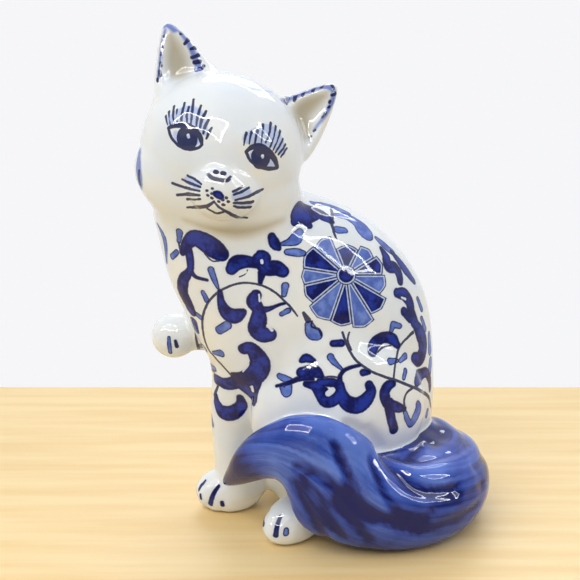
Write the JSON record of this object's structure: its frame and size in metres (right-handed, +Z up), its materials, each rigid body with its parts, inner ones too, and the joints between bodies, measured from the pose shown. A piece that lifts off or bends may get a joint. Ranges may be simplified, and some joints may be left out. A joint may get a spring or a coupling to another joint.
{
  "type": "ceramic cat figurine",
  "caption": "Seated glazed porcelain cat, head turned and tilted, one forepaw raised, tail curled round the haunch, painted with blue flower scrolls; stands on a flat foot.",
  "frame": {"origin": "centre of the figurine's box in plan, at the level of its flat foot", "axes": "+Z up; +X from the chest towards the rump; -Y is the side that the face looks to"},
  "size_m": [0.1416, 0.1004, 0.2008],
  "materials": {
    "white_glaze": "clear glossy glaze over white porcelain, underglaze cobalt brush painting",
    "cobalt_glaze": "clear glossy glaze over a brushed cobalt wash",
    "bare_biscuit": "unglazed, matt"
  },
  "bodies": {
    "root": {"body_casting": "white_glaze", "head_casting": "white_glaze", "right_ear": "white_glaze", "left_ear": "white_glaze", "standing_foreleg": "white_glaze", "raised_foreleg": "white_glaze", "left_hind_paw": "white_glaze", "right_hind_paw": "white_glaze", "tail_casting": "cobalt_glaze", "base_slab": "bare_biscuit"}
  },
  "joints": []
}
